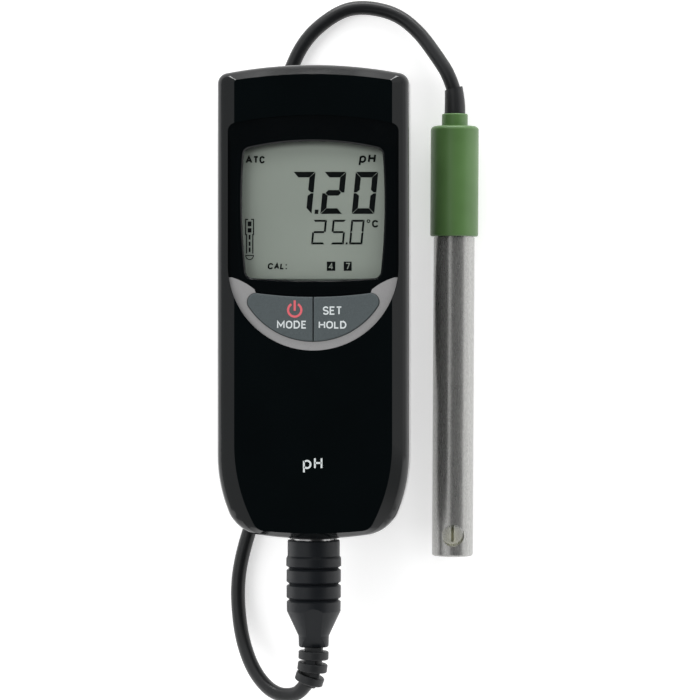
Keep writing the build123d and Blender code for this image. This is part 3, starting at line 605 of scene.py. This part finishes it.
def write(target, text, boxes, width, slant=0.0):
    """Each character of text in its own box (x0, y0, x1, y1), y downwards."""
    for ch, (x0, y0, x1, y1) in zip(text, boxes):
        h = width / 2
        ax, bx, ay, by = x0 + h, x1 - h, y1 - h, y0 + h
        for stroke in STROKES[ch]:
            pts = []
            for u, v in stroke:
                y = ay + (by - ay) * v
                x = ax + (bx - ax) * u + (y1 - y) * slant
                pts.append((x, y))
            closed = len(pts) > 3 and (Vector(pts[0]) - Vector(pts[-1])).length < 0.05
            target.line(pts[:-1] if closed else pts, width, closed)


def row(x0, y0, y1, widths, gap):
    boxes, x = [], x0
    for w in widths:
        boxes.append((x, y0, x + w, y1))
        x += w + gap
    return boxes


def ink(name, color, rough=0.5, spec=0.3):
    return finish_of(name, color, rough=rough, spec=spec, vary=0.05, grain=5000.0,
                     grain_strength=0.1)


key_ink = ink("key_ink", srgb(200, 206, 207))
power_ink = ink("power_ink", srgb(205, 96, 104))
panel_ink = ink("panel_ink", srgb(206, 212, 212))
lcd_ink = ink("lcd_ink", srgb(8, 12, 12), rough=0.6, spec=0.1)
lcd_faint = ink("lcd_faint", srgb(24, 30, 29), rough=0.6, spec=0.1)
lcd_clear = ink("lcd_clear", srgb(150, 158, 149), rough=0.6, spec=0.1)

p = Print("mode_key_mark", on_key, key_ink, "mode_key")
write(p, "MODE", row(277.0, 320.7, 328.6, (7.6, 6.5, 6.4, 5.2), 1.27), 1.35)
p.done("key_grey")
p = Print("power_mark", on_key, power_ink, "mode_key")
p.ring(294.7, 310.0, 6.6, 2.2, start=120, end=420, steps=44)
p.line([(294.7, 300.4), (294.7, 310.8)], 2.2)
p.done("key_grey")
p = Print("set_key_mark", on_key, key_ink, "set_key")
write(p, "SET", row(322.8, 306.4, 314.8, (5.9, 5.5, 6.0), 0.9), 1.35)
write(p, "HOLD", row(318.7, 321.0, 328.6, (6.5, 6.7, 5.0, 6.3), 1.07), 1.35)
p.done("key_grey")

p = Print("panel_mark", on_flat(40.0), panel_ink, "meter")
write(p, "pH", [(303.0, 457.0, 311.8, 469.0), (314.0, 457.4, 322.4, 469.0)], 1.8)
p.done("case_black")

LCD_Z = 34.4
slant = math.tan(math.radians(5.5))


def segments(target, left, top, bottom, wide, stroke, which, gap=0.55):
    """Seven-segment digit; left and wide are those of its foot."""
    h = stroke
    mid = (top + bottom) / 2

    def sk(x, y):
        return (x + (bottom - y) * slant, y)

    x0, x1 = left, left + wide
    shapes = {
        "a": [(x0 + gap, top), (x1 - gap, top), (x1 - h - gap * 0.2, top + h), (x0 + h + gap * 0.2, top + h)],
        "d": [(x0 + gap, bottom), (x1 - gap, bottom), (x1 - h - gap * 0.2, bottom - h), (x0 + h + gap * 0.2, bottom - h)],
        "g": [(x0 + h * 0.5 + gap, mid), (x0 + h + gap * 0.3, mid - h / 2), (x1 - h - gap * 0.3, mid - h / 2),
              (x1 - h * 0.5 - gap, mid), (x1 - h - gap * 0.3, mid + h / 2), (x0 + h + gap * 0.3, mid + h / 2)],
        "f": [(x0, top + gap), (x0 + h, top + h + gap * 0.8), (x0 + h, mid - h / 2 - gap * 0.3), (x0 + h * 0.45, mid - gap), (x0, mid - gap)],
        "e": [(x0, bottom - gap), (x0 + h, bottom - h - gap * 0.8), (x0 + h, mid + h / 2 + gap * 0.3), (x0 + h * 0.45, mid + gap), (x0, mid + gap)],
        "b": [(x1, top + gap), (x1 - h, top + h + gap * 0.8), (x1 - h, mid - h / 2 - gap * 0.3), (x1 - h * 0.45, mid - gap), (x1, mid - gap)],
        "c": [(x1, bottom - gap), (x1 - h, bottom - h - gap * 0.8), (x1 - h, mid + h / 2 + gap * 0.3), (x1 - h * 0.45, mid + gap), (x1, mid + gap)],
    }
    for s in which:
        target.poly([sk(*q) for q in shapes[s]])


p = Print("lcd_marks", on_flat(LCD_Z), lcd_ink, "meter")
segments(p, 289.2, 171.8, 213.9, 22.3, 5.6, "abc", 0.4)
segments(p, 320.3, 171.8, 213.9, 22.0, 5.6, "abged", 0.4)
segments(p, 351.7, 171.8, 213.9, 22.5, 5.6, "abcdef", 0.4)
p.poly([(314.5, 213.9), (314.9, 209.6), (318.6, 209.6), (318.2, 213.9)])
segments(p, 311.0, 219.8, 244.4, 13.6, 2.0, "abged", 0.2)
segments(p, 330.4, 219.8, 244.4, 13.4, 2.0, "afgcd", 0.2)
segments(p, 349.0, 219.8, 244.4, 13.3, 2.0, "abcdef", 0.2)
p.poly([(345.6, 244.4), (345.8, 242.4), (347.7, 242.4), (347.5, 244.4)])
write(p, "ATC", row(245.5, 156.0, 163.5, (6.9, 5.7, 5.6), 0.65), 1.75)
write(p, "pH", [(358.8, 153.4, 366.0, 163.0), (367.6, 153.8, 375.0, 163.0)], 2.0, slant=0.14)
p.ring(368.5, 221.2, 1.35, 1.0, steps=16)
write(p, "C", [(372.0, 220.0, 378.6, 227.6)], 1.8)
write(p, "CAL", row(267.4, 263.0, 269.4, (5.6, 5.3, 4.3), 0.75), 1.55, slant=0.12)
for y in (264.9, 268.6):
    p.poly([(285.6, y - 0.6), (286.9, y - 0.6), (286.9, y + 0.6), (285.6, y + 0.6)])
# electrode sign: full bars, the outline comes apart
p.poly([(247.7, 221.5), (251.5, 221.5), (251.5, 226.3), (247.7, 226.3)])
p.poly([(247.7, 228.1), (251.5, 228.1), (251.5, 232.5), (247.7, 232.5)])
for y0, y1 in ((234.8, 239.6), (241.7, 246.0), (247.5, 252.1)):
    p.poly([(248.7, y0), (250.5, y0), (250.5, y1), (248.7, y1)])
p.line(arc(249.6, 255.6, 3.8, 4.0, 0, 180, 12) , 0.9)
p.line([(245.4, 255.4), (253.8, 255.4)], 0.9)
# two boxes round the calibration points
for x0, x1 in ((326.8, 335.3), (343.7, 351.7)):
    p.poly([(x0, 261.6), (x1, 261.6), (x1, 270.8), (x0, 270.8)])
p.done("lcd")
p = Print("lcd_outline", on_flat(LCD_Z), lcd_faint, "meter")
p.line([(248.2, 219.4), (245.7, 219.4), (245.7, 234.7), (246.6, 234.7), (246.6, 253.6)], 1.2)
p.line([(251.0, 219.4), (253.5, 219.4), (253.5, 234.7), (252.8, 234.7), (252.8, 253.6)], 1.2)
p.done("lcd")
p = Print("lcd_box_numbers", on_flat(LCD_Z + 0.036), lcd_clear, "meter")
write(p, "47", [(328.8, 262.9, 333.4, 269.5), (345.6, 262.9, 350.0, 269.5)], 0.95)
p.done("lcd")


# ------------------------------------------------------------------
# floor and light
# ------------------------------------------------------------------
fm = Tree("floor_white")
floor_noise = fm.noise(3.0, 2.0)
fm.link(fm.mix(fm.remap(floor_noise, 0, 1), (0.80, 0.80, 0.80, 1), (0.82, 0.82, 0.82, 1)),
        fm.bsdf.inputs["Base Color"])
fm.set(Roughness=0.9, Specular_IOR_Level=0.1, Emission_Color=(1, 1, 1, 1), Emission_Strength=0.5)
bm = bmesh.new()
bmesh.ops.create_circle(bm, cap_ends=True, segments=96, radius=3.0)
floor_mesh = bpy.data.meshes.new("floor")
bm.to_mesh(floor_mesh)
bm.free()
floor_mesh.materials.append(fm.mat)
floor = bpy.data.objects.new("floor", floor_mesh)
scene.collection.objects.link(floor)

# soft light from all round, weaker straight above
world = bpy.data.worlds.new("studio")
scene.world = world
world.use_nodes = True
wt = world.node_tree
bg = wt.nodes["Background"]
tc = wt.nodes.new("ShaderNodeTexCoord")
sepw = wt.nodes.new("ShaderNodeSeparateXYZ")
wt.links.new(tc.outputs["Generated"], sepw.inputs["Vector"])
# a dark patch overhead, a little to the right, in a bright surround
up = wt.nodes.new("ShaderNodeVectorMath")
up.operation = "DOT_PRODUCT"
up.inputs[1].default_value = (math.sin(math.radians(19)), 0.0, math.cos(math.radians(19)))
wt.links.new(tc.outputs["Generated"], up.inputs[0])
ramp = wt.nodes.new("ShaderNodeValToRGB")
ramp.color_ramp.interpolation = "EASE"
els = ramp.color_ramp.elements
els[0].position = 0.0
els[0].color = (0.92, 0.92, 0.92, 1)
els[1].position = 1.0
els[1].color = (0.03, 0.032, 0.032, 1)
for pos, v in ((0.74, 0.92), (0.86, 0.03)):
    e = els.new(pos)
    e.color = (v, v, v, 1)
wt.links.new(up.outputs["Value"], ramp.inputs["Fac"])
side = wt.nodes.new("ShaderNodeMapRange")
side.inputs["From Min"].default_value = -0.8
side.inputs["From Max"].default_value = 0.8
side.inputs["To Min"].default_value = 0.78
side.inputs["To Max"].default_value = 1.2
wt.links.new(sepw.outputs["X"], side.inputs["Value"])
scale = wt.nodes.new("ShaderNodeVectorMath")
scale.operation = "SCALE"
wt.links.new(ramp.outputs["Color"], scale.inputs[0])
wt.links.new(side.outputs["Result"], scale.inputs["Scale"])
wt.links.new(scale.outputs["Vector"], bg.inputs["Color"])
bg.inputs["Strength"].default_value = 1.0


def softbox(name, loc, target, size, power, reflects=False):
    data = bpy.data.lights.new(name, "AREA")
    data.shape = "RECTANGLE"
    data.size, data.size_y = size
    data.energy = power
    o = bpy.data.objects.new(name, data)
    o.location = loc
    direction = Vector(target) - Vector(loc)
    o.rotation_euler = direction.to_track_quat("-Z", "Y").to_euler()
    # the broad fills light the object but are not seen in its gloss
    o.visible_camera = False
    o.visible_glossy = reflects
    scene.collection.objects.link(o)
    return o


softbox("light_top_end", (0.0, 1.25, 0.75), (0, 0.0, 0), (1.4, 0.5), 6)
softbox("light_right", (1.2, 0.1, 0.85), (0, 0, 0), (0.5, 1.4), 4)
softbox("light_left", (-1.2, 0.0, 0.85), (0, 0, 0), (0.45, 1.2), 11)
softbox("light_low_strip", (0.0, 1.5, 0.2), (0, 0, 0), (1.6, 0.22), 14, reflects=True)
